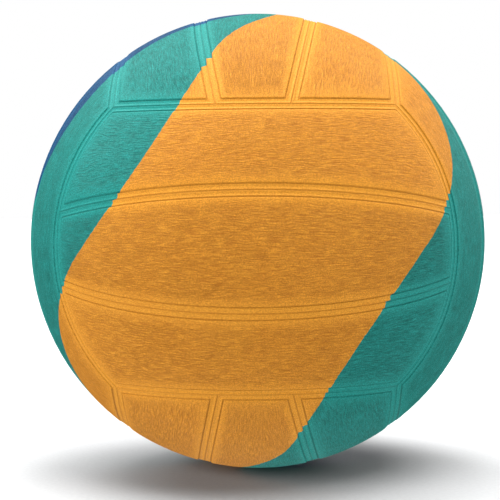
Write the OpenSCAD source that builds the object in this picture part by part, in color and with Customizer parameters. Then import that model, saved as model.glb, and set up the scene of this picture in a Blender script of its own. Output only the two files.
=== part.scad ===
// Water polo ball, size 5: bladder, wound nylon yarn and a moulded rubber cover of coloured sheets.
// The origin is the centre of the ball and Z is up. The front, with the orange sheet, faces -Y,
// and the valve faces +Y. Lengths are millimetres and angles are degrees.

/* [Ball] */
// Outside radius of the inflated ball
ball_r = 110; // [104:0.5:116]

/* [Layers] */
// Thickness of the coloured cover sheets
cover_t = 1.2; // [1:0.1:1.8]
// Thickness of the rubber skin under the cover
undercover_t = 0.3; // [0.2:0.05:0.6]
// Thickness of the wound nylon yarn
winding_t = 0.6; // [0.4:0.05:1]
// Thickness of the bladder wall
bladder_t = 0.7; // [0.5:0.05:1.2]

/* [Moulded seams] */
// Distance between neighbouring grooves, of the three that make a seam
groove_pitch = 2.9; // [2.4:0.1:3.6]
// Width of a groove
groove_w = 0.9; // [0.5:0.05:1.2]
// Depth of a groove
groove_depth = 0.45; // [0.2:0.05:0.6]
// Half the width of a face's middle strip, at the middle of the face
strip_mid_w = 26.5; // [24:0.5:29]
// Half the width of a face's middle strip, at its ends
strip_end_w = 16.5; // [14:0.5:19]

/* [Colour sheets] */
// Longitude where the join between the left and the front sheet crosses the equator
left_front_angle = -135; // [-138:0.5:-131]
// Longitude where the join between the front and the right sheet crosses the equator
front_right_angle = -47; // [-50:0.5:-44]
// Longitude where the join between the right and the back sheet crosses the equator
right_back_angle = 42; // [38:1:46]
// Longitude where the join between the back and the left sheet crosses the equator
back_left_angle = 182; // [178:1:186]
// Turn that a join tends to on its way from the equator to the bend
mid_turn_angle = 37; // [30:1:42]
// Latitude at which a join has made two thirds of that turn
settle_lat = 36; // [32:1:42]
// Latitude where a join bends into its turn round the pole
bend_lat = 50; // [44:1:56]
// Turn of a join between the bend and the pole
pole_turn_angle = 100; // [60:5:110]

/* [Valve] */
// Radius of the housing's neck, which shows at the surface
neck_r = 6.5; // [6:0.1:8]
// Radius of the housing's barrel inside the bladder
barrel_r = 8.5; // [8.2:0.1:10]
// Length of the housing's barrel under its flange
barrel_len = 15; // [12:0.5:20]
// Radius of the flange bonded inside the bladder
flange_r = 17; // [14:0.5:22]
// Thickness of the flange
flange_t = 1.2; // [0.8:0.1:2]
// Radius of the hole that holds the core
core_hole_r = 4; // [3.6:0.1:4.3]
// Radius of the core's head
core_head_r = 5.2; // [4.8:0.1:5.4]
// Thickness of the core's head
core_head_t = 1.3; // [1:0.1:1.8]
// Depth of the core's head below the rim of the neck
core_recess = 0.4; // [0.2:0.1:0.8]
// Length of the core's foot below the barrel
core_foot_len = 4.5; // [3:0.5:6]
// Radius of the core's tip
core_tip_r = 2.6; // [2.2:0.1:3.2]
// Radius of the needle channel
needle_r = 1.15; // [1.1:0.05:1.3]
// Radius of the channel's funnel at the head
funnel_r = 2.1; // [1.7:0.1:2.6]
// Depth of the funnel
funnel_depth = 0.9; // [0.6:0.1:1.2]
// Depth of the needle channel under the funnel, down to the slit that closes by itself
needle_depth = 8; // [6:0.5:10]

/* [Balance patch] */
// Radius of the disc opposite the valve
patch_r = 24; // [20:1:28]
// Thickness of the disc
patch_t = 2.4; // [2:0.1:3]

/* [Hidden] */
$fn = 120;

orange = [0.95, 0.58, 0.16];
teal = [0.16, 0.58, 0.53];
blue = [0.12, 0.32, 0.58];
dark_rubber = [0.14, 0.14, 0.15];
butyl = [0.2, 0.19, 0.19];
yarn = [0.88, 0.87, 0.82];
valve_rubber = [0.1, 0.1, 0.11];

// Overrun of every cut past the face that it opens
overrun = 1;
// Clearance round the core's head in its seat
head_gap = 0.1;

cover_in_r = ball_r - cover_t;
undercover_in_r = cover_in_r - undercover_t;
winding_in_r = undercover_in_r - winding_t;
bladder_in_r = winding_in_r - bladder_t;

// Angle at the centre of the ball under a length on its surface
function surface_angle(len) = len / ball_r * 180 / PI;

// A seam between two faces lies on a circle parallel to a face, whose ends are the corners of a cube
edge_angle = acos(1 / sqrt(3));
pitch_angle = surface_angle(groove_pitch);
// The bisectors between the three seams at a corner stand at this angle from a face's middle
corner_turn = atan(1 / 2);
// A divider lies on a circle that tilts from the middle of its face to its ends
divider_rise = sqrt(pow(ball_r, 2) - pow(strip_mid_w, 2)) - ball_r / sqrt(3);
divider_tilt = atan((strip_mid_w - strip_end_w) / divider_rise);
divider_angle = acos((strip_end_w * cos(divider_tilt) - ball_r / sqrt(3) * sin(divider_tilt)) / ball_r);
// Half turn of a divider's groove. Its side grooves end in the near groove of the seam that it meets,
// and its middle groove in the middle one.
function divider_half_turn(k, angle) =
    acos((cos(edge_angle - abs(k) * pitch_angle) + cos(angle) * sin(divider_tilt))
         / (sin(angle) * cos(divider_tilt)));
// Half turns of the edge grooves, cut off where the next seam's grooves begin
function edge_half_turn(k, angle) =
    k < 0 ? acos(1 / tan(angle) / sqrt(5)) - corner_turn
          : corner_turn + asin(1 / tan(angle) / sqrt(5));
// Turn at which a divider's side groove meets an edge groove
function meeting_turn(k, angle) =
    asin((cos(divider_angle + k * pitch_angle) + cos(angle) * sin(divider_tilt))
         / (sin(angle) * cos(divider_tilt)));
// Stretches of an edge groove. The one on the side where dividers end is open between their side grooves
function edge_stretches(k, angle) =
    let (half = edge_half_turn(k, angle), far = meeting_turn(-1, angle), near = meeting_turn(1, angle))
    k < 0 ? [[-half, -far], [-near, near], [far, half]] : [[-half, half]];

// A groove is cut out of each sheet that it comes this near to, in degrees, looked for at these steps
near_join = 3;
look_step_share = 0.1;

// Steps of a join from pole to pole, and across a sheet
lat_steps = 36;
lon_steps = 3;
// Power with which a join turns faster towards the pole
pole_power_share = 3;
// The sheets' wedges reach past the ball by this share, so that their flat outsides miss it
wedge_reach_share = 1.5;

// Height of the neck's rim, where it meets the surface of the ball
rim_h = sqrt(pow(ball_r, 2) - pow(neck_r, 2));
barrel_end_h = bladder_in_r - flange_t - barrel_len;
head_top_h = rim_h - core_recess;
head_seat_h = head_top_h - core_head_t;

// Turn of a join away from its own meridian, at one latitude
function join_turn(lat) =
    sign(lat) * (mid_turn_angle * (1 - exp(-abs(lat) / settle_lat))
    + pole_turn_angle * pow(max(0, (abs(lat) - bend_lat) / (90 - bend_lat)), pole_power_share));

// Point at a latitude and longitude, at the wedges' reach
function far_point(lat, lon) =
    ball_r * wedge_reach_share * [cos(lat) * cos(lon), cos(lat) * sin(lon), sin(lat)];

// Wedge of space between two joins, with its edge lines through the centre of the ball
module wedge(from_lon, to_lon) {
    row = lon_steps + 1;
    lats = [for (i = [1 : lat_steps - 1]) 180 * i / lat_steps - 90];
    rim = [
        for (lat = lats) for (j = [0 : lon_steps])
            far_point(lat, join_turn(lat) + from_lon + (to_lon - from_lon) * j / lon_steps)
    ];
    south = len(rim);
    north = south + 1;
    centre = south + 2;
    last = len(lats) - 1;
    outside = [
        for (i = [0 : last - 1]) for (j = [0 : lon_steps - 1]) each [
            [i * row + j, (i + 1) * row + j, (i + 1) * row + j + 1],
            [i * row + j, (i + 1) * row + j + 1, i * row + j + 1]
        ]
    ];
    caps = [
        for (j = [0 : lon_steps - 1]) each [
            [south, j, j + 1],
            [north, last * row + j + 1, last * row + j]
        ]
    ];
    walls = [
        for (i = [0 : last - 1]) each [
            [centre, (i + 1) * row, i * row],
            [centre, i * row + lon_steps, (i + 1) * row + lon_steps]
        ]
    ];
    ends = [
        [centre, 0, south],
        [centre, south, lon_steps],
        [centre, north, last * row],
        [centre, last * row + lon_steps, north]
    ];
    polyhedron(
        points = concat(rim, [far_point(-90, 0), far_point(90, 0), [0, 0, 0]]),
        faces = concat(outside, caps, walls, ends)
    );
}

// Every groove as [turn about the cube's corner, turned to the back, mirrored down, tilt, angle, from, to].
// Each face has three grooves along its upper and lower edges, and three along each divider.
GROOVES = [
    for (turn = [0 : 2], back = [0, 1], down = [0, 1], k = [-1 : 1])
        let (edge = edge_angle + k * pitch_angle, divider = divider_angle + k * pitch_angle) each [
            for (stretch = edge_stretches(k, edge)) [turn, back, down, 0, edge, stretch[0], stretch[1]],
            let (half = divider_half_turn(k, divider)) [turn, back, down, divider_tilt, divider, -half, half]
        ]
];

// Unit vector to a point of a groove, at a share of the way along it
function groove_point(g, way_share) =
    let (
        b = g[5] + (g[6] - g[5]) * way_share,
        y = sin(g[4]) * cos(b),
        z = cos(g[4]),
        p = [sin(g[4]) * sin(b), y * cos(g[3]) - z * sin(g[3]), y * sin(g[3]) + z * cos(g[3])],
        q = [g[1] == 1 ? -p.x : p.x, g[1] == 1 ? -p.y : p.y, g[2] == 1 ? -p.z : p.z]
    )
    g[0] == 0 ? q : g[0] == 1 ? [q.z, q.x, q.y] : [q.y, q.z, q.x];

// Whether a unit vector lies on a sheet, or near its joins
function on_sheet(p, from_lon, to_lon) =
    let (
        lat = asin(p.z),
        lon = atan2(p.y, p.x) - join_turn(lat) - from_lon + near_join / cos(lat),
        width = to_lon - from_lon + 2 * near_join / cos(lat)
    )
    lon - 360 * floor(lon / 360) < width;

function crosses(g, from_lon, to_lon) =
    len([for (s = [0 : look_step_share : 1]) if (on_sheet(groove_point(g, s), from_lon, to_lon)) s]) > 0;

// One groove: a shallow trough between two flat walls, round its own axis
module groove(g) {
    height = ball_r * cos(g[4]);
    flat_w = groove_w * sin(g[4]);
    floor_r = sqrt(pow(ball_r - groove_depth, 2) - pow(height, 2));
    end_turn = surface_angle(groove_w / 2);
    rotate(a = 120 * g[0], v = [1, 1, 1])
        rotate([0, 0, 180 * g[1]])
            mirror([0, 0, g[2]])
                rotate([g[3], 0, 0])
                    rotate([0, 0, 90 - g[6] - end_turn])
                        rotate_extrude(angle = g[6] - g[5] + 2 * end_turn)
                            translate([floor_r, height - flat_w / 2])
                                square([ball_r + overrun - floor_r, flat_w]);
}

// Cuts the first n grooves of a list out of a sheet, one after another
module grooved(list, n) {
    if (n == 0) children();
    else difference() {
        grooved(list, n - 1) children();
        groove(list[n - 1]);
    }
}

// Turns a shape drawn along Z to the valve's place, along +Y
module to_valve() {
    rotate([-90, 0, 0]) children();
}

// Hollow sphere, whose own poles are turned to the valve's axis
module hollow_ball(out_r, in_r) {
    to_valve() difference() {
        sphere(r = out_r);
        sphere(r = in_r);
    }
}

// Hole for the neck of the valve housing
module neck_hole() {
    to_valve() cylinder(r = neck_r, h = ball_r + overrun);
}

module cover_sheet(from_lon, to_lon) {
    list = [for (g = GROOVES) if (crosses(g, from_lon, to_lon)) g];
    grooved(list, len(list)) intersection() {
        hollow_ball(ball_r, cover_in_r);
        wedge(from_lon, to_lon);
    }
}

module cover_front() {
    color(orange) cover_sheet(left_front_angle, front_right_angle);
}

module cover_left() {
    color(teal) cover_sheet(back_left_angle - 360, left_front_angle);
}

module cover_right() {
    color(teal) cover_sheet(front_right_angle, right_back_angle);
}

module cover_back() {
    color(blue) difference() {
        cover_sheet(right_back_angle, back_left_angle);
        neck_hole();
    }
}

module undercover() {
    color(dark_rubber) difference() {
        hollow_ball(cover_in_r, undercover_in_r);
        neck_hole();
    }
}

module nylon_winding() {
    color(yarn) difference() {
        hollow_ball(undercover_in_r, winding_in_r);
        neck_hole();
    }
}

module bladder() {
    color(butyl) difference() {
        hollow_ball(winding_in_r, bladder_in_r);
        neck_hole();
    }
}

// Neck, flange and barrel in one moulding, with the seat and the hole for the core
module valve_housing() {
    color(valve_rubber) to_valve() difference() {
        union() {
            translate([0, 0, barrel_end_h]) cylinder(r = neck_r, h = rim_h - barrel_end_h);
            intersection() {
                sphere(r = bladder_in_r);
                translate([0, 0, barrel_end_h]) cylinder(r = barrel_r, h = ball_r - barrel_end_h);
            }
            intersection() {
                difference() {
                    sphere(r = bladder_in_r);
                    sphere(r = bladder_in_r - flange_t);
                }
                cylinder(r = flange_r, h = ball_r);
            }
        }
        translate([0, 0, barrel_end_h - overrun])
            cylinder(r = core_hole_r, h = rim_h - barrel_end_h + 2 * overrun);
        translate([0, 0, head_seat_h])
            cylinder(r = core_head_r + head_gap, h = core_head_t + core_recess + overrun);
    }
}

// Plug with a head in its seat, a stem in the hole and a foot that holds it under the barrel
module valve_core() {
    foot_h = barrel_end_h - core_foot_len;
    channel_h = head_top_h - funnel_depth;
    color(valve_rubber) to_valve() rotate_extrude() polygon([
        [0, foot_h],
        [core_tip_r, foot_h],
        [core_head_r, barrel_end_h],
        [core_hole_r, barrel_end_h],
        [core_hole_r, head_seat_h],
        [core_head_r, head_seat_h],
        [core_head_r, head_top_h],
        [funnel_r, head_top_h],
        [needle_r, channel_h],
        [needle_r, channel_h - needle_depth],
        [0, channel_h - needle_depth]
    ]);
}

module balance_patch() {
    color(dark_rubber) mirror([0, 1, 0]) to_valve() intersection() {
        difference() {
            sphere(r = bladder_in_r);
            sphere(r = bladder_in_r - patch_t);
        }
        cylinder(r = patch_r, h = ball_r);
    }
}

cover_front();
cover_left();
cover_right();
cover_back();
undercover();
nylon_winding();
bladder();
valve_housing();
valve_core();
balance_patch();
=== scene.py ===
"""Water polo ball: moulded rubber cover sheets in four colour fields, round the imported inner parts.

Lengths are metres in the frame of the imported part: X to the right, Y away from the viewer, Z up.
"""

import math

import bpy
import numpy as np
from mathutils import Matrix, Vector, noise


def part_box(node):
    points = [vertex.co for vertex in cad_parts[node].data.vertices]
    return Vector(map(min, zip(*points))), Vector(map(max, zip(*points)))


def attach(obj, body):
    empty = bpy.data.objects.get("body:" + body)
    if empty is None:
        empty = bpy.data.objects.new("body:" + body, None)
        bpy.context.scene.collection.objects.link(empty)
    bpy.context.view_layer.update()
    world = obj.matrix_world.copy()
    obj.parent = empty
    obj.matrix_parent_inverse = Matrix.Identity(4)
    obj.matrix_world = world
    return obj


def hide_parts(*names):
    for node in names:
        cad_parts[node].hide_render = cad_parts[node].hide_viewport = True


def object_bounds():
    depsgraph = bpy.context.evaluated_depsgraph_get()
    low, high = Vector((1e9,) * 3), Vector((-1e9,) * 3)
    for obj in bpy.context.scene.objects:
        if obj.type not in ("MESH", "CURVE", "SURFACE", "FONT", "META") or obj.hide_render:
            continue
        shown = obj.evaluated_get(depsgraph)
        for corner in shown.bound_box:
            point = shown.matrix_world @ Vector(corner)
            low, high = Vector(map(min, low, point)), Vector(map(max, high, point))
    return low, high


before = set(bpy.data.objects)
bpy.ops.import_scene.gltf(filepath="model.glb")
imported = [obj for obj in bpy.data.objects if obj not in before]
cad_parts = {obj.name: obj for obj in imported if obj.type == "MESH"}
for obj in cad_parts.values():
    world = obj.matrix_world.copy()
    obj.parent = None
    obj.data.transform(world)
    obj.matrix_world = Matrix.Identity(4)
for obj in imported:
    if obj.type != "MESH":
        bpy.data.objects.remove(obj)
cad_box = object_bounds()

MM = 0.001

# Ball and cover, from the frame
BALL_R = (cad_box[1].z - cad_box[0].z) / 2
COVER_IN_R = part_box("undercover")[1].z

# Moulded seams: three grooves with two smooth hollow bands between them
GROOVE_PITCH = 2.9 * MM
GROOVE_HALF_W = 0.55 * MM
GROOVE_DEPTH = 0.57 * MM
BAND_DIP = 0.43 * MM
SHOULDER_DIP = 0.1 * MM
SHOULDER_REACH = 1.4 * MM
GROOVE_SHARES = (-1, -0.72, -0.45, -0.2, 0, 0.2, 0.45, 0.72, 1)
BAND_SHARES = (0.25, 0.37, 0.5, 0.63, 0.75)
SHOULDER_STEPS = (0.4 * MM, 1.0 * MM, 1.9 * MM)
SEAM_HALF_W = GROOVE_PITCH + GROOVE_HALF_W + SHOULDER_STEPS[-1]
PANEL_STEP = 2.8 * MM

# Half the width of a face's middle strip, at the middle of the face and at its ends
STRIP_MID_W = 26.5 * MM
STRIP_END_W = 16.5 * MM

# Faces meet on circles at this distance from the middle of the ball
EDGE = BALL_R / math.sqrt(3)
EDGE_CIRCLE_R = math.sqrt(BALL_R**2 - EDGE**2)
EDGE_S = BALL_R * math.asin(EDGE / BALL_R)
DIVIDER_TILT = math.atan2(STRIP_MID_W - STRIP_END_W, math.sqrt(BALL_R**2 - STRIP_MID_W**2) - EDGE)
DIVIDER_PLANE = STRIP_END_W * math.cos(DIVIDER_TILT) - EDGE * math.sin(DIVIDER_TILT)
DIVIDER_S = BALL_R * (DIVIDER_TILT + math.asin(DIVIDER_PLANE / BALL_R))

# Colour joins, as longitudes on the equator, and their swirl
JOINS = {"back_left": -178.0, "left_front": -134.5, "front_right": -47.3, "right_back": 42.0}
# Shares of the swirl that a hand-laid join makes above and below the equator
JOIN_SHARES = {
    "back_left": (1.0, 1.0),
    "left_front": (1.0, 1.07),
    "front_right": (1.11, 0.97),
    "right_back": (1.0, 1.0),
}
SHEETS = {
    "front_sheet": ("cover_front", "left_front", "front_right"),
    "left_sheet": ("cover_left", "back_left", "left_front"),
    "right_sheet": ("cover_right", "front_right", "right_back"),
    "back_sheet": ("cover_back", "right_back", "back_left"),
}
MID_TURN = 37.0
SETTLE_LAT = 36.0
BEND_LAT = 50.0
POLE_TURN = 100.0
POLE_POWER = 3
JOIN_ROWS = 600
# A join wanders this far over this length, and by a share of it over a longer stretch
JOIN_WANDER = 0.35 * MM
WANDER_L = 1.3 * MM
SLOW_WANDER_SHARE = 0.7
SLOW_WANDER_STRETCH = 4.0
# Each join reads its wander this many steps from the one before it
WANDER_SPACING = 7.0
# Round the poles, past this latitude, the joins run without wander or steps
CALM_LAT = 84
# Share of its lean that a join loses on a band, where the mould has pushed the sheets aside
STEP_SHARE = 1.0
# The sheets' wedges reach out to this many ball radii, and in to this share of that
WEDGE_REACH = 1.3
WEDGE_INNER_SHARE = 0.6

# Points closer than this are one point, and edges flatter than this many degrees are smooth
MERGE_REACH = 0.01 * MM
SMOOTH_ANGLE = 60

# Rubbers as (name, colour, pale tone, deep tone), the deep tone also giving the painted shade in the
# grooves, and the rubber and the slot of each cover
ORANGE = ("orange_rubber", (0.96, 0.4, 0.037, 1), (0.99, 0.46, 0.05, 1), (0.45, 0.13, 0.01, 1))
TEAL = ("teal_rubber", (0.02, 0.36, 0.31, 1), (0.04, 0.42, 0.38, 1), (0.006, 0.1, 0.08, 1))
BLUE = ("blue_rubber", (0.008, 0.1, 0.24, 1), (0.018, 0.14, 0.29, 1), (0.003, 0.027, 0.08, 1))
COVER_COLOURS = {"cover_front": ORANGE, "cover_left": TEAL, "cover_right": TEAL, "cover_back": BLUE}

# The panels' pressed streaks: length, width, how far they wave, and a wave's length and width
STREAK_L = 6 * MM
STREAK_W = 0.55 * MM
STREAK_WAVE = 3 * MM
WAVE_L = 13 * MM
WAVE_W = 8 * MM
# They grow to their full strength over this distance from a seam
CALM_REACH = 3.5 * MM
# The rubber's grain, the patches where its streaks are weaker, and its mottled colour
GRAIN_SIZE = 0.4 * MM
PATCH_SIZE = 11 * MM
MOTTLE_SIZE = 18 * MM
# Shares of the deep tone where the grain and the streaks are deepest, and of the painted shade that darkens
# the middles of the grooves
GRAIN_SHADE = 0.6
STREAK_SHADE = 0.66
GROOVE_PAINTED_SHADE = 0.35
# Depth of the streaks in the bump, and how much it deepens the look of the modelled bands
RUBBER_BUMP = 0.25 * MM
RELIEF_BOOST = 1.3

# The valve's neck in the back sheet, and the bead and the groove moulded round it
NECK_R = 6.5 * MM
NECK_GAP = 0.07 * MM
BEAD_R = 8.3 * MM
BEAD_HALF_W = 0.7 * MM
BEAD_RISE = 0.22 * MM
VALVE_GROOVE_R = 11.5 * MM
VALVE_GROOVE_HALF_W = 0.42 * MM
VALVE_SEGMENTS = 144
RING_SEGMENTS = 20

# Yarn of the winding: its pitch, its patches, the axes of its layers from the lowest up, and its tones
YARN_PITCH = 0.7 * MM
YARN_PATCH = 26 * MM
YARN_AXES = (
    (0.0, 0.0, 1.0),
    (0.85, 0.53, 0.0),
    (-0.53, 0.0, 0.85),
    (0.0, 0.85, -0.53),
    (0.53, 0.0, 0.85),
    (-0.4, 0.8, 0.45),
    (0.45, -0.6, 0.66),
)
YARN_TONES = ((0.78, 0.76, 0.68, 1), (0.7, 0.67, 0.58, 1), (0.84, 0.82, 0.75, 1))

# Wide soft lights as (azimuth, elevation, strength), and the even light between them
SOFT_LIGHTS = {
    "left_front_softbox": (-52, 20, 1.5),
    "right_rear_softbox": (130, 25, 1.0),
    "left_rear_softbox": (-135, 45, 1.5),
    "left_rear_top_softbox": (-135, 70, 1.7),
    "right_front_top_softbox": (45, 70, 1.6),
    "right_rear_top_softbox": (135, 70, 1.0),
    "top_softbox": (0, 89, 0.7),
    "left_underlight": (-90, -25, 1.2),
    "front_underlight": (-10, -25, 1.35),
    "right_underlight": (85, -20, 1.9),
    "rear_underlight": (180, -60, 0.6),
}
SOFT_LIGHT_SPREAD = 40
SOFT_LIGHT_TINT = (0.98, 1.0, 1.02)
AMBIENT = 0.05
FLOOR_W = 8

# The photograph's view: degrees round the ball, above it and of roll, and its distance in ball radii
CAMERA_AZIMUTH = 1.01
CAMERA_ELEVATION = 2.57
CAMERA_ROLL = -0.49
CAMERA_DISTANCE = 7.13
SENSOR_W = 36
LENS = 115.4
LENS_SHIFT = (-0.0156, -0.0186)
CLIP = (0.01, 20)


def deselect():
    if bpy.context.object and bpy.context.object.mode != "OBJECT":
        bpy.ops.object.mode_set(mode="OBJECT")
    bpy.ops.object.select_all(action="DESELECT")


def activate(piece):
    deselect()
    piece.select_set(True)
    bpy.context.view_layer.objects.active = piece


def apply_modifier(piece, kind, **values):
    activate(piece)
    modifier = piece.modifiers.new(kind.lower(), kind)
    for key, value in values.items():
        setattr(modifier, key, value)
    bpy.ops.object.modifier_apply(modifier=modifier.name)


def edit_all(piece):
    """Opens a piece in edit mode with all of it selected."""
    activate(piece)
    bpy.ops.object.mode_set(mode="EDIT")
    bpy.ops.mesh.select_all(action="SELECT")


def close_and_face_out():
    """Merges the doubled points of the piece being edited, turns its faces outward and leaves it."""
    bpy.ops.mesh.select_all(action="SELECT")
    bpy.ops.mesh.remove_doubles(threshold=MERGE_REACH)
    bpy.ops.mesh.normals_make_consistent(inside=False)
    bpy.ops.object.mode_set(mode="OBJECT")


def vertex_array(mesh):
    flat = np.empty(3 * len(mesh.vertices), dtype=np.float64)
    mesh.vertices.foreach_get("co", flat)
    return flat.reshape(-1, 3)


def set_vertices(mesh, places):
    mesh.vertices.foreach_set("co", np.asarray(places, dtype=np.float32).ravel())
    mesh.update()


def bell(distance):
    """1 on the middle line of a groove, falling to 0 at its lips."""
    share = 0.5 + 0.5 * np.cos(math.pi * distance / GROOVE_HALF_W)
    return np.where(np.abs(distance) < GROOVE_HALF_W, share, 0.0)


def groove_share(away):
    """How deep in a groove a point lies, from 0 to 1, by its distance from the middle groove."""
    return np.maximum(bell(away), bell(away - GROOVE_PITCH))


def band_depth(away):
    """Depth of the two hollow bands and their shoulders, by the distance from the middle groove."""
    band = BAND_DIP * np.where(away < GROOVE_PITCH, np.sin(math.pi * away / GROOVE_PITCH), 0.0)
    past = np.maximum(away - GROOVE_PITCH, 0.0) / SHOULDER_REACH
    return band + SHOULDER_DIP * np.exp(-(past**2))


def seam_depth(away):
    """Depth of the moulded seam under the ball's surface, at a distance from its middle groove."""
    return GROOVE_DEPTH * groove_share(away) + band_depth(away)


def strip_tilt(s):
    """Tilt of the line that runs along a strip at a distance s from the middle of the face."""
    turns = [0, DIVIDER_S - SEAM_HALF_W, DIVIDER_S + SEAM_HALF_W, EDGE_S - SEAM_HALF_W]
    return DIVIDER_TILT * np.interp(s, turns, [0, 1, 1, 0])


def seam_lines(middle, inner_side_only=False):
    """Distances of the mesh lines that draw one seam."""
    offsets = [k * GROOVE_PITCH + GROOVE_HALF_W * share for k in (-1, 0, 1) for share in GROOVE_SHARES]
    offsets += [side * GROOVE_PITCH * share for side in (-1, 1) for share in BAND_SHARES]
    lip = GROOVE_PITCH + GROOVE_HALF_W
    offsets += [side * (lip + step) for side in (-1, 1) for step in SHOULDER_STEPS]
    if inner_side_only:
        offsets = [offset for offset in offsets if offset <= 0]
    return [middle + offset for offset in sorted(offsets)]


def panel_lines(start, end):
    """Evenly spaced lines over a panel, without its last one."""
    count = round((end - start) / PANEL_STEP)
    return [start + (end - start) * i / count for i in range(count)]


def strip_lines():
    """Distances from the middle of a face of all the lines that run along its strips."""
    divider = seam_lines(DIVIDER_S)
    edge = seam_lines(EDGE_S, inner_side_only=True)
    between = panel_lines(divider[-1], edge[0])[1:]
    return np.array(panel_lines(0, divider[0]) + divider + between + edge)


def face_quarter_points():
    """Points of a quarter of the +Y face: rows along its strips, columns across them."""
    s = strip_lines()
    tilt = strip_tilt(s)
    row_plane = BALL_R * np.sin(s / BALL_R - tilt)
    end_z = (row_plane + EDGE * np.sin(tilt)) / np.cos(tilt)
    turn = np.arcsin(np.clip(end_z / EDGE_CIRCLE_R, -1, 1))
    edge_turn = turn[s >= EDGE_S - SEAM_HALF_W - PANEL_STEP / 2][0]
    lean = math.pi / 2 * np.minimum(1, turn / edge_turn)
    column_plane = EDGE_CIRCLE_R * np.sin(turn - lean)
    row_normal = np.stack([np.zeros_like(s), -np.sin(tilt), np.cos(tilt)], axis=-1)[None, :, :]
    column_normal = np.stack([np.cos(lean), -np.sin(lean), np.zeros_like(s)], axis=-1)[:, None, :]
    row_normal, column_normal = np.broadcast_arrays(row_normal, column_normal)
    line = np.cross(row_normal, column_normal)
    size = np.sum(line * line, axis=-1, keepdims=True)
    base = (
        row_plane[None, :, None] * np.cross(column_normal, line)
        + column_plane[:, None, None] * np.cross(line, row_normal)
    ) / size
    return base + line * np.sqrt((BALL_R**2 - np.sum(base * base, axis=-1, keepdims=True)) / size)


def face_frame(places):
    """Turns points of the whole ball into the frame of their own +Y face, and gives the face's axis."""
    size = np.abs(places)
    on_y = (size[:, 1] > EDGE) & (size[:, 2] <= EDGE)
    on_z = (size[:, 2] > EDGE) & (size[:, 0] <= EDGE)
    turned = np.where(on_z[:, None], places[:, [1, 2, 0]], places[:, [2, 0, 1]])
    local = np.where(on_y[:, None], places, turned)
    axis = np.where(on_y, 1, np.where(on_z, 2, 0))
    return local, axis


def circle_distance(height, circle_height):
    """Distance over the ball to a circle, from the heights of the point and the circle along its axis."""
    return BALL_R * np.abs(np.arcsin(np.clip(height / BALL_R, -1, 1)) - math.asin(circle_height / BALL_R))


def seam_distance(local):
    """Distance to the middle groove of the nearest seam: the two edges of the face, or its divider."""
    _, y, z = np.abs(local).T
    edge = np.minimum(circle_distance(z, EDGE), circle_distance(y, EDGE))
    divider = circle_distance(z * math.cos(DIVIDER_TILT) - y * math.sin(DIVIDER_TILT), DIVIDER_PLANE)
    return np.minimum(edge, divider)


def moulded_depth(local):
    """Depth of the surface under the round ball."""
    return seam_depth(seam_distance(local))


def outer_skin():
    """The moulded outside of the whole cover, from a quarter of one face."""
    points = face_quarter_points()
    count = len(points)
    depth = moulded_depth(points.reshape(-1, 3)).reshape(count, count, 1)
    points = points * (BALL_R - depth) / BALL_R

    deselect()
    bpy.ops.mesh.primitive_grid_add(x_subdivisions=count - 1, y_subdivisions=count - 1, size=count - 1)
    skin = bpy.context.object
    grid = np.rint(vertex_array(skin.data)[:, :2] + (count - 1) / 2).astype(int)
    set_vertices(skin.data, points[grid[:, 0], grid[:, 1]])

    thirds = [skin]
    for turn in (120, 240):
        activate(skin)
        bpy.ops.object.duplicate()
        thirds.append(bpy.context.object)
        thirds[-1].data.transform(Matrix.Rotation(math.radians(turn), 4, Vector((1, 1, 1))))
    activate(skin)
    for third in thirds:
        third.select_set(True)
    bpy.ops.object.join()
    apply_modifier(skin, "MIRROR", use_axis=(True, True, True), merge_threshold=MERGE_REACH)
    edit_all(skin)
    close_and_face_out()
    return skin


def cover_shell():
    """The whole cover before it is parted into sheets: the moulded outside and a round inside."""
    shell = outer_skin()
    deselect()
    bpy.ops.mesh.primitive_ico_sphere_add(subdivisions=6, radius=COVER_IN_R)
    inside = bpy.context.object
    edit_all(inside)
    bpy.ops.mesh.flip_normals()
    bpy.ops.object.mode_set(mode="OBJECT")
    activate(shell)
    inside.select_set(True)
    bpy.ops.object.join()
    return shell


def join_longitude(name, lat):
    """Longitude of a colour join at a latitude, in degrees, with the wander of a hand-laid edge."""
    past = max(0.0, (abs(lat) - BEND_LAT) / (90 - BEND_LAT))
    share = JOIN_SHARES[name][lat < 0]
    turn = share * MID_TURN * (1 - math.exp(-abs(lat) / SETTLE_LAT)) + POLE_TURN * past**POLE_POWER
    along = BALL_R * math.radians(lat) / WANDER_L
    place = Vector((along, WANDER_SPACING * list(JOINS).index(name), 0.0))
    slow = SLOW_WANDER_SHARE * noise.noise(place / SLOW_WANDER_STRETCH)
    wander = JOIN_WANDER * (noise.noise(place) + slow)
    wander_deg = math.degrees(wander / BALL_R) if abs(lat) < CALM_LAT else 0.0
    least_level = 0.15
    level = max(least_level, math.cos(math.radians(lat)))
    return JOINS[name] + math.copysign(turn, lat) + wander_deg / level


def on_sphere(lat, lon):
    """Points of the ball's surface, from degrees."""
    lat, lon = np.radians(lat), np.radians(lon)
    return BALL_R * np.stack([np.cos(lat) * np.cos(lon), np.cos(lat) * np.sin(lon), np.sin(lat)], axis=-1)


def to_length(vectors, length):
    """The vectors of an array, each brought to the same length."""
    no_less = 1e-12
    return vectors * length / np.maximum(np.linalg.norm(vectors, axis=1, keepdims=True), no_less)


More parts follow.
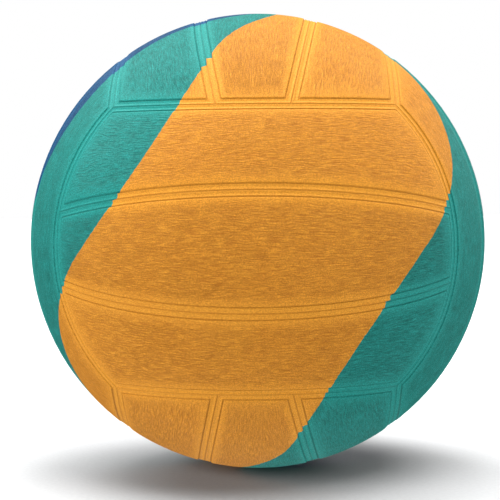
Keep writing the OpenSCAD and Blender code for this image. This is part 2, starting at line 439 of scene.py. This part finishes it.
def stepped_by_seams(path):
    """A join's points, pushed along the seams that it crosses: it runs straight over each band."""
    reach = 0.05 * MM
    away = seam_distance(face_frame(path)[0])
    slope = []
    for nudge in np.eye(3) * reach:
        ahead, behind = (to_length(path + side * nudge, BALL_R) for side in (1, -1))
        slope.append(seam_distance(face_frame(ahead)[0]) - seam_distance(face_frame(behind)[0]))
    across = to_length(np.stack(slope, axis=-1), 1)
    along = np.cross(to_length(path, 1), across)
    heading = to_length(np.gradient(path, axis=0), 1)
    climb = np.sum(heading * across, axis=1)
    least_climb = 0.4
    lean = np.sum(heading * along, axis=1) * np.sign(climb) / np.maximum(np.abs(climb), least_climb)
    shift = np.where(away < GROOVE_PITCH, (GROOVE_PITCH / 2 - away) * lean * STEP_SHARE, 0)
    return to_length(path + along * shift[:, None], BALL_R)


def join_path(name):
    """Points of a colour join from pole to pole."""
    lat = np.linspace(-90, 90, JOIN_ROWS + 1)
    path = on_sphere(lat, np.array([join_longitude(name, value) for value in lat]))
    calm = np.abs(lat) > CALM_LAT
    return np.where(calm[:, None], path, stepped_by_seams(path))


def sheet_wedge(start, end):
    """Wedge of space that a sheet fills, between its two joins."""
    columns = 9
    deselect()
    bpy.ops.mesh.primitive_grid_add(x_subdivisions=columns, y_subdivisions=JOIN_ROWS, size=2)
    wedge = bpy.context.object
    first, last = join_path(start), join_path(end)
    places = []
    for u, v, _ in vertex_array(wedge.data):
        row = round((v + 1) / 2 * JOIN_ROWS)
        share = (u + 1) / 2
        column = round(share * columns)
        if column in (0, columns):
            places.append((first if column == 0 else last)[row] * WEDGE_REACH)
            continue
        lat = 90 * v
        from_lon, to_lon = join_longitude(start, lat), join_longitude(end, lat)
        if JOINS[end] < JOINS[start]:
            to_lon += 360
        places.append(on_sphere(lat, from_lon + (to_lon - from_lon) * share) * WEDGE_REACH)
    set_vertices(wedge.data, places)
    edit_all(wedge)
    bpy.ops.mesh.remove_doubles(threshold=MERGE_REACH)
    bpy.ops.mesh.extrude_region_move()
    bpy.ops.transform.resize(value=(WEDGE_INNER_SHARE,) * 3, center_override=(0, 0, 0))
    close_and_face_out()
    return wedge


def strip_place(local):
    """How far across its face a point lies, counted along the lines that bend with the strips."""
    _, y, z = np.abs(local).T
    low, high = np.zeros_like(y), np.full_like(y, EDGE_S + PANEL_STEP)
    halvings = 24
    for _ in range(halvings):
        middle = (low + high) / 2
        tilt = strip_tilt(middle)
        above = z * np.cos(tilt) - y * np.sin(tilt) > BALL_R * np.sin(middle / BALL_R - tilt)
        low, high = np.where(above, middle, low), np.where(above, high, middle)
    return low


def write_attribute(mesh, name, kind, field, values):
    layer = mesh.attributes.new(name, kind, "POINT")
    layer.data.foreach_set(field, np.asarray(values, dtype=np.float32).ravel())


def mark_surface(piece):
    """Stores what the rubber follows: the grooves, where it gets painted shade, the bands, the open panels
    and the lay of the strips.
    """
    places = vertex_array(piece.data)
    radius = np.linalg.norm(places, axis=1, keepdims=True)
    local, axis = face_frame(places / radius * BALL_R)
    away = seam_distance(local)
    band = np.clip((GROOVE_PITCH - away) / GROOVE_HALF_W, 0, 1)
    from_valve = np.where(places[:, 1] > 0, np.hypot(places[:, 0], places[:, 2]), BALL_R)
    calm = np.minimum(away - GROOVE_PITCH - GROOVE_HALF_W, from_valve - VALVE_GROOVE_R)
    panel = np.clip(calm / CALM_REACH, 0, 1)
    along = BALL_R * np.arctan2(local[:, 0], np.abs(local[:, 1]))
    across = np.copysign(strip_place(local), local[:, 2])
    face = axis + 3 * (local[:, 1] > 0)
    lay = np.stack([along, across, face * BALL_R], axis=-1)
    write_attribute(piece.data, "relief", "FLOAT", "value", -band_depth(away) / MM)
    write_attribute(piece.data, "groove", "FLOAT", "value", groove_share(away))
    write_attribute(piece.data, "band", "FLOAT", "value", band)
    write_attribute(piece.data, "panel", "FLOAT", "value", panel)
    write_attribute(piece.data, "lay", "FLOAT_VECTOR", "vector", lay)


class Nodes:
    """Builds one material's node tree, a node at a time."""

    def __init__(self, name):
        self.material = bpy.data.materials.new(name)
        self.material.use_nodes = True
        self.tree = self.material.node_tree
        self.shader = self.tree.nodes["Principled BSDF"]

    def add(self, kind, inputs=None, **settings):
        node = self.tree.nodes.new(kind)
        for key, value in settings.items():
            setattr(node, key, value)
        for key, value in (inputs or {}).items():
            self.feed(node, key, value)
        return node

    def feed(self, node, key, value):
        if isinstance(value, bpy.types.NodeSocket):
            self.tree.links.new(value, node.inputs[key])
        else:
            node.inputs[key].default_value = value

    def attribute(self, name, output="Fac"):
        return self.add("ShaderNodeAttribute", attribute_name=name).outputs[output]

    def places(self):
        return self.add("ShaderNodeTexCoord").outputs["Object"]

    def scaled(self, vector, sizes):
        """Coordinates counted in steps of the given sizes."""
        scale = [1 / size for size in sizes]
        return self.add("ShaderNodeMapping", {"Vector": vector, "Scale": scale}).outputs["Vector"]

    def noise(self, vector, detail=2.0, roughness=0.5, distortion=0.0):
        values = {"Vector": vector, "Scale": 1.0, "Detail": detail, "Roughness": roughness}
        values["Distortion"] = distortion
        return self.add("ShaderNodeTexNoise", values).outputs["Fac"]

    def even_noise(self, vector, size, **values):
        """Noise of one size in all directions."""
        return self.noise(self.scaled(vector, (size,) * 3), **values)

    def spread(self, value, low, high, to_low=0.0, to_high=1.0):
        values = {"Value": value, "From Min": low, "From Max": high, "To Min": to_low, "To Max": to_high}
        return self.add("ShaderNodeMapRange", values, interpolation_type="SMOOTHSTEP").outputs["Result"]

    def math(self, operation, first, second=0.0, third=0.0):
        node = self.add("ShaderNodeMath", {0: first, 1: second, 2: third}, operation=operation)
        return node.outputs["Value"]

    def vector_math(self, operation, first, second=(0, 0, 0)):
        return self.add("ShaderNodeVectorMath", {0: first, 1: second}, operation=operation)

    def mix(self, share, first, second):
        node = self.add("ShaderNodeMix", data_type="RGBA")
        for socket, value in zip((node.inputs[0], node.inputs[6], node.inputs[7]), (share, first, second)):
            if isinstance(value, bpy.types.NodeSocket):
                self.tree.links.new(value, socket)
            else:
                socket.default_value = value
        return node.outputs[2]

    def bump(self, height, distance):
        values = {"Height": height, "Distance": distance, "Strength": 1.0}
        return self.add("ShaderNodeBump", values).outputs["Normal"]

    def finish(self, colour, roughness, normal, **uniform):
        self.feed(self.shader, "Base Color", colour)
        self.feed(self.shader, "Roughness", roughness)
        self.feed(self.shader, "Normal", normal)
        for key, value in uniform.items():
            self.shader.inputs[key.replace("_", " ")].default_value = value
        return self.material


def moulded_rubber(name, colour, pale, deep):
    """Coloured cover rubber: streaks pressed along each strip, a fine grain, and painted shade that darkens
    the grooves.
    """
    nodes = Nodes(name)
    lay, places = nodes.attribute("lay", "Vector"), nodes.places()
    wave = nodes.noise(nodes.scaled(lay, (WAVE_L, WAVE_W, BALL_R)), detail=1.0)
    wave = nodes.math("MULTIPLY", nodes.math("SUBTRACT", wave, 0.5), STREAK_WAVE)
    sideways = nodes.add("ShaderNodeCombineXYZ", {"Y": wave}).outputs["Vector"]
    bent = nodes.vector_math("ADD", lay, sideways).outputs["Vector"]
    streak = nodes.noise(nodes.scaled(bent, (STREAK_L, STREAK_W, BALL_R)), detail=3.0, roughness=0.65)
    grain = nodes.even_noise(places, GRAIN_SIZE, detail=1.0, roughness=0.6)
    patches = nodes.spread(nodes.even_noise(places, PATCH_SIZE, detail=1.0), 0.35, 0.6, 0.85, 1.0)
    mottle = nodes.even_noise(places, MOTTLE_SIZE, detail=2.0)
    strength = nodes.math("MULTIPLY", nodes.attribute("panel"), patches)
    streak = nodes.math("MULTIPLY", nodes.spread(streak, 0.36, 0.68), strength)
    off_band = nodes.spread(nodes.attribute("band"), 0, 1, 1, 0.85)
    grain = nodes.math("MULTIPLY", nodes.spread(grain, 0.35, 0.65), off_band)
    shade = nodes.mix(nodes.spread(mottle, 0.3, 0.7, 0.0, 0.2), colour, pale)
    shade = nodes.mix(nodes.math("MULTIPLY", grain, GRAIN_SHADE), shade, deep)
    shade = nodes.mix(nodes.math("MULTIPLY", streak, STREAK_SHADE), shade, deep)
    # The grooves are darkened toward the deep tone: painted shade in the recesses of the seams
    shade = nodes.mix(nodes.math("MULTIPLY", nodes.attribute("groove"), GROOVE_PAINTED_SHADE), shade, deep)
    texture = nodes.math("SUBTRACT", nodes.math("MULTIPLY", grain, 0.3), streak)
    height = nodes.math("MULTIPLY_ADD", nodes.attribute("relief"), RELIEF_BOOST, texture)
    rough = nodes.spread(grain, 0, 1, 0.55, 0.68)
    return nodes.finish(shade, rough, nodes.bump(height, RUBBER_BUMP), Specular_IOR_Level=0.15)


def dark_skin_rubber():
    """Calendered black rubber of the undercover and the patch, dusted with talc."""
    nodes = Nodes("dark_skin_rubber")
    places = nodes.places()
    talc = nodes.even_noise(places, 9 * MM, detail=5.0, roughness=0.65)
    grain = nodes.even_noise(places, 0.5 * MM, detail=2.0)
    rolled = nodes.noise(nodes.scaled(places, (30 * MM, 30 * MM, 1.2 * MM)), detail=1.0)
    bare, dusted = (0.02, 0.02, 0.021, 1), (0.16, 0.155, 0.15, 1)
    shade = nodes.mix(nodes.spread(talc, 0.45, 0.75, 0.0, 0.3), bare, dusted)
    height = nodes.math("ADD", grain, rolled)
    return nodes.finish(shade, nodes.spread(talc, 0.3, 0.7, 0.6, 0.85), nodes.bump(height, 0.05 * MM))


def butyl_skin():
    """Smooth black butyl of the bladder, with flow marks."""
    nodes = Nodes("butyl_skin")
    places = nodes.places()
    flow = nodes.noise(nodes.scaled(places, (24 * MM, 24 * MM, 7 * MM)), detail=3.0, distortion=1.2)
    grain = nodes.even_noise(places, 0.8 * MM, detail=2.0)
    plain, marked = (0.022, 0.02, 0.02, 1), (0.06, 0.055, 0.055, 1)
    shade = nodes.mix(nodes.spread(flow, 0.35, 0.7, 0.0, 0.5), plain, marked)
    return nodes.finish(shade, nodes.spread(flow, 0.3, 0.7, 0.35, 0.5), nodes.bump(grain, 0.03 * MM))


def valve_rubber():
    """Moulded black rubber of the valve: lathe rings round its axis and a fine grain."""
    nodes = Nodes("valve_rubber")
    places = nodes.places()
    split = nodes.add("ShaderNodeSeparateXYZ", {"Vector": places})
    across = nodes.add("ShaderNodeCombineXYZ", {"X": split.outputs["X"], "Z": split.outputs["Z"]})
    radius = nodes.vector_math("LENGTH", across.outputs["Vector"]).outputs["Value"]
    ring_pitch = 0.35 * MM
    rings = nodes.math("SINE", nodes.math("MULTIPLY", radius, 2 * math.pi / ring_pitch))
    grain = nodes.even_noise(places, 0.3 * MM, detail=2.0)
    dust = nodes.even_noise(places, 2.5 * MM, detail=4.0, roughness=0.6)
    bare, dusted = (0.014, 0.014, 0.015, 1), (0.09, 0.088, 0.085, 1)
    shade = nodes.mix(nodes.spread(dust, 0.45, 0.75, 0.0, 0.3), bare, dusted)
    height = nodes.math("ADD", grain, nodes.math("MULTIPLY", rings, 0.12))
    return nodes.finish(shade, nodes.spread(dust, 0.3, 0.7, 0.42, 0.62), nodes.bump(height, 0.04 * MM))


def wound_yarn():
    """Nylon yarn wound in all directions and set in cement, the later turns lying over the earlier ones,
    with painted shade in the gaps between the turns.
    """
    nodes = Nodes("wound_yarn")
    places = nodes.places()
    painted_gap_shade, cemented = (0.3, 0.27, 0.2, 1), (0.5, 0.42, 0.26, 1)
    height = tone = None
    for i, axis in enumerate(YARN_AXES):
        across = nodes.vector_math("DOT_PRODUCT", places, axis).outputs["Value"]
        turns = nodes.math("SINE", nodes.math("MULTIPLY", across, math.pi / YARN_PITCH))
        thread = nodes.math("ABSOLUTE", turns)
        shift = nodes.vector_math("ADD", places, (0.4 * i, 0.7 * i, 0)).outputs["Vector"]
        laid = nodes.spread(nodes.even_noise(shift, YARN_PATCH, detail=1.0), 0.47, 0.5)
        belt = nodes.spread(nodes.math("ABSOLUTE", across), 0.9 * BALL_R, 0.75 * BALL_R)
        over = nodes.math("MULTIPLY", laid, belt)
        # Each thread darkens to the gap tone between turns: painted shade where the threads meet
        shade = nodes.mix(thread, painted_gap_shade, YARN_TONES[i % len(YARN_TONES)])
        height = thread if height is None else nodes.mix(over, height, thread)
        tone = shade if tone is None else nodes.mix(over, tone, shade)
    cement = nodes.even_noise(places, 5 * MM, detail=4.0)
    tone = nodes.mix(nodes.spread(cement, 0.5, 0.8, 0.0, 0.4), tone, cemented)
    return nodes.finish(tone, nodes.spread(cement, 0.3, 0.7, 0.5, 0.75), nodes.bump(height, 0.15 * MM))


def studio_floor():
    """Pale matt paper."""
    nodes = Nodes("floor")
    fibre = nodes.even_noise(nodes.places(), 2 * MM, detail=3.0)
    shade = nodes.mix(nodes.spread(fibre, 0.3, 0.7), (0.7, 0.69, 0.68, 1), (0.73, 0.72, 0.71, 1))
    return nodes.finish(shade, 0.9, nodes.bump(fibre, 0.01 * MM), Specular_IOR_Level=0.1)


def ball_height(radius):
    """Height of the round ball over its middle at a distance from the valve's axis."""
    return math.sqrt(BALL_R**2 - radius**2)


def cut_or_add(sheet, operation, tool):
    apply_modifier(sheet, "BOOLEAN", operation=operation, solver="MANIFOLD", object=tool)
    bpy.data.objects.remove(tool)


def ring(radius, half_w, height):
    """A ring of round section about the valve's axis."""
    deselect()
    bpy.ops.mesh.primitive_torus_add(
        major_segments=VALVE_SEGMENTS,
        minor_segments=RING_SEGMENTS,
        major_radius=radius,
        minor_radius=half_w,
        location=(0, height, 0),
        rotation=(math.pi / 2, 0, 0),
    )
    return bpy.context.object


def open_valve_place(sheet):
    """Moulds a bead and a ring groove round the valve, and opens the hole for its neck."""
    cut_or_add(sheet, "UNION", ring(BEAD_R, BEAD_HALF_W, ball_height(BEAD_R) + BEAD_RISE - BEAD_HALF_W))
    cut_or_add(sheet, "DIFFERENCE", ring(VALVE_GROOVE_R, VALVE_GROOVE_HALF_W, ball_height(VALVE_GROOVE_R)))
    deselect()
    bpy.ops.mesh.primitive_cylinder_add(
        vertices=VALVE_SEGMENTS,
        radius=NECK_R + NECK_GAP,
        depth=2 * (BALL_R - COVER_IN_R) + BEAD_R,
        location=(0, BALL_R, 0),
        rotation=(math.pi / 2, 0, 0),
    )
    cut_or_add(sheet, "DIFFERENCE", bpy.context.object)


def make_sheets():
    """Parts the cover into its four colour sheets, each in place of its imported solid."""
    shell = cover_shell()
    for name, (node, start, end) in SHEETS.items():
        activate(shell)
        bpy.ops.object.duplicate()
        sheet = bpy.context.object
        sheet.name = sheet.data.name = name
        cut_or_add(sheet, "INTERSECT", sheet_wedge(start, end))
        if name == "back_sheet":
            open_valve_place(sheet)
        activate(sheet)
        bpy.ops.object.shade_smooth_by_angle(angle=math.radians(SMOOTH_ANGLE))
        mark_surface(sheet)
        material_name, *colours = COVER_COLOURS[node]
        material = bpy.data.materials.get(material_name) or moulded_rubber(material_name, *colours)
        sheet.data.materials.clear()
        sheet.data.materials.append(material)
        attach(sheet, "root")
        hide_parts(node)
    bpy.data.objects.remove(shell)


def dress_inner_parts():
    """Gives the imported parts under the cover, and the valve, their finishes."""
    skin, valve = dark_skin_rubber(), valve_rubber()
    finishes = {
        "undercover": skin,
        "balance_patch": skin,
        "nylon_winding": wound_yarn(),
        "bladder": butyl_skin(),
        "valve_housing": valve,
        "valve_core": valve,
    }
    for node, material in finishes.items():
        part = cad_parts[node]
        if not part.material_slots:
            part.data.materials.append(material)
        for slot in part.material_slots:
            slot.material = material


def direction(azimuth, elevation):
    """Unit vector towards a place round the ball: 0 degrees is the front, 90 the right."""
    azimuth, elevation = math.radians(azimuth), math.radians(elevation)
    level = math.cos(elevation)
    return Vector((level * math.sin(azimuth), -level * math.cos(azimuth), math.sin(elevation)))


def camera():
    """The photograph's view: 784 mm from the middle of the ball, a little above it."""
    data = bpy.data.cameras.new("camera")
    cam = bpy.data.objects.new("camera", data)
    bpy.context.collection.objects.link(cam)
    back = direction(CAMERA_AZIMUTH, CAMERA_ELEVATION)
    cam.location = back * CAMERA_DISTANCE * BALL_R
    roll = Matrix.Rotation(math.radians(CAMERA_ROLL), 4, "Z").to_quaternion()
    cam.rotation_mode = "QUATERNION"
    cam.rotation_quaternion = (-back).to_track_quat("-Z", "Y") @ roll
    data.sensor_width = SENSOR_W
    data.lens = LENS
    data.shift_x, data.shift_y = LENS_SHIFT
    data.clip_start, data.clip_end = CLIP
    bpy.context.scene.camera = cam


def studio():
    deselect()
    bpy.ops.mesh.primitive_plane_add(size=FLOOR_W, location=(0, 0, 0))
    floor = bpy.context.object
    floor.name = "floor"
    floor.data.transform(Matrix.Translation((0, 0, cad_box[0].z)))
    floor.data.materials.append(studio_floor())
    # The underlights shine through the floor, and the ball's underside takes no light or colour from it
    floor.visible_diffuse = False
    floor.visible_glossy = False
    floor.visible_shadow = False
    for name, (azimuth, elevation, strength) in SOFT_LIGHTS.items():
        light = bpy.data.lights.new(name, "SUN")
        light.angle = math.radians(SOFT_LIGHT_SPREAD)
        light.energy = strength
        light.color = SOFT_LIGHT_TINT
        # The ball throws no colour back on the floor
        light.cycles.max_bounces = 0
        lamp = bpy.data.objects.new(name, light)
        lamp.rotation_mode = "QUATERNION"
        lamp.rotation_quaternion = direction(azimuth, elevation).to_track_quat("Z", "Y")
        bpy.context.collection.objects.link(lamp)
    white_backdrop()
    bpy.context.scene.view_settings.view_transform = "Standard"


def white_backdrop():
    """A plain white background for the camera, and a dimmer even light on what the camera sees."""
    past_first_bounce = 1.5
    world = bpy.data.worlds.new("studio")
    world.use_nodes = True
    tree = world.node_tree
    dim = tree.nodes["Background"]
    dim.inputs["Color"].default_value = (1, 1, 1, 1)
    white = tree.nodes.new("ShaderNodeBackground")
    white.inputs["Color"].default_value = (1, 1, 1, 1)
    seen = tree.nodes.new("ShaderNodeLightPath")
    first = tree.nodes.new("ShaderNodeMath")
    first.operation = "LESS_THAN"
    first.inputs[1].default_value = past_first_bounce
    even = tree.nodes.new("ShaderNodeMath")
    even.operation = "MULTIPLY"
    even.inputs[1].default_value = AMBIENT
    mix = tree.nodes.new("ShaderNodeMixShader")
    tree.links.new(seen.outputs["Diffuse Depth"], first.inputs[0])
    tree.links.new(first.outputs["Value"], even.inputs[0])
    tree.links.new(even.outputs["Value"], dim.inputs["Strength"])
    tree.links.new(seen.outputs["Is Camera Ray"], mix.inputs[0])
    tree.links.new(dim.outputs["Background"], mix.inputs[1])
    tree.links.new(white.outputs["Background"], mix.inputs[2])
    tree.links.new(mix.outputs["Shader"], tree.nodes["World Output"].inputs["Surface"])
    bpy.context.scene.world = world


make_sheets()
dress_inner_parts()
studio()
camera()
